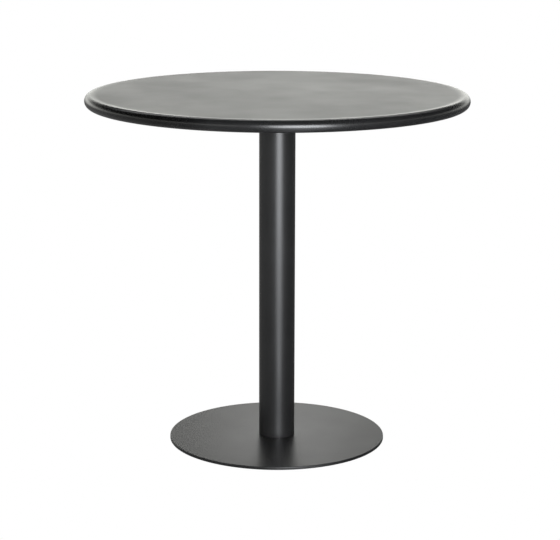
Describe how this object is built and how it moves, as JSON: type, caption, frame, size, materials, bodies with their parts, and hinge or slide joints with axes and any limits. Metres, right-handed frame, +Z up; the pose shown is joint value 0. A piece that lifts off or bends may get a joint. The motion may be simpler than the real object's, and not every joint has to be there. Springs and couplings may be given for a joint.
{
  "type": "bistro table",
  "caption": "Round pedestal bistro table: a pressed steel top with a half-round rim on a straight tube column and a flat disc base with levelling glides.",
  "frame": {"origin": "centre of the footprint on the floor, directly under the column's axis", "axes": "+Z up along the column's axis; the table looks the same after every quarter turn about it, and the picture looks at it along +Y"},
  "size_m": [0.8, 0.8, 0.75],
  "materials": {
    "powder_coat": "satin near-black powder coat over steel",
    "zinc_plated": "bright zinc-plated steel fasteners",
    "black_nylon": "matte moulded nylon"
  },
  "bodies": {
    "table": {"top_sheet": "powder_coat", "top_rib_1": "powder_coat", "top_rib_2": "powder_coat", "top_rib_3": "powder_coat", "top_rib_4": "powder_coat", "top_fixing_plate": "powder_coat", "column_flange": "powder_coat", "column_tube": "powder_coat", "column_foot_plug": "powder_coat", "base_plate": "powder_coat", "weld_nut_1": "zinc_plated", "weld_nut_2": "zinc_plated", "weld_nut_3": "zinc_plated", "weld_nut_4": "zinc_plated", "flange_washer_1": "zinc_plated", "flange_washer_2": "zinc_plated", "flange_washer_3": "zinc_plated", "flange_washer_4": "zinc_plated", "flange_bolt_1": "zinc_plated", "flange_bolt_2": "zinc_plated", "flange_bolt_3": "zinc_plated", "flange_bolt_4": "zinc_plated", "base_screw_1": "zinc_plated", "base_screw_2": "zinc_plated", "base_screw_3": "zinc_plated", "base_screw_4": "zinc_plated"},
    "glide_1_foot": {"glide_pad_1": "black_nylon"},
    "glide_1_screw": {"glide_stud_1": "zinc_plated"},
    "glide_2_foot": {"glide_pad_2": "black_nylon"},
    "glide_2_screw": {"glide_stud_2": "zinc_plated"},
    "glide_3_foot": {"glide_pad_3": "black_nylon"},
    "glide_3_screw": {"glide_stud_3": "zinc_plated"},
    "glide_4_foot": {"glide_pad_4": "black_nylon"},
    "glide_4_screw": {"glide_stud_4": "zinc_plated"}
  },
  "joints": [
    {"name": "glide_1_travel", "type": "slide", "parent": "table", "child": "glide_1_foot", "axis": [0, 0, 1], "range_m": [-0.002, 0]},
    {"name": "glide_1_turn", "type": "hinge", "parent": "glide_1_foot", "child": "glide_1_screw", "pos_m": [0.14001, 0.14001, 0.003], "axis": [0, 0, 1], "range_deg": [-576, 0]},
    {"name": "glide_2_travel", "type": "slide", "parent": "table", "child": "glide_2_foot", "axis": [0, 0, 1], "range_m": [-0.002, 0]},
    {"name": "glide_2_turn", "type": "hinge", "parent": "glide_2_foot", "child": "glide_2_screw", "pos_m": [-0.14001, 0.14001, 0.003], "axis": [0, 0, 1], "range_deg": [-576, 0]},
    {"name": "glide_3_travel", "type": "slide", "parent": "table", "child": "glide_3_foot", "axis": [0, 0, 1], "range_m": [-0.002, 0]},
    {"name": "glide_3_turn", "type": "hinge", "parent": "glide_3_foot", "child": "glide_3_screw", "pos_m": [-0.14001, -0.14001, 0.003], "axis": [0, 0, 1], "range_deg": [-576, 0]},
    {"name": "glide_4_travel", "type": "slide", "parent": "table", "child": "glide_4_foot", "axis": [0, 0, 1], "range_m": [-0.002, 0]},
    {"name": "glide_4_turn", "type": "hinge", "parent": "glide_4_foot", "child": "glide_4_screw", "pos_m": [0.14001, -0.14001, 0.003], "axis": [0, 0, 1], "range_deg": [-576, 0]}
  ],
  "couplings": [
    {"joint": "glide_1_turn", "follows": "glide_1_travel", "rad_per_m": 5026.5},
    {"joint": "glide_2_turn", "follows": "glide_2_travel", "rad_per_m": 5026.5},
    {"joint": "glide_3_turn", "follows": "glide_3_travel", "rad_per_m": 5026.5},
    {"joint": "glide_4_turn", "follows": "glide_4_travel", "rad_per_m": 5026.5}
  ]
}
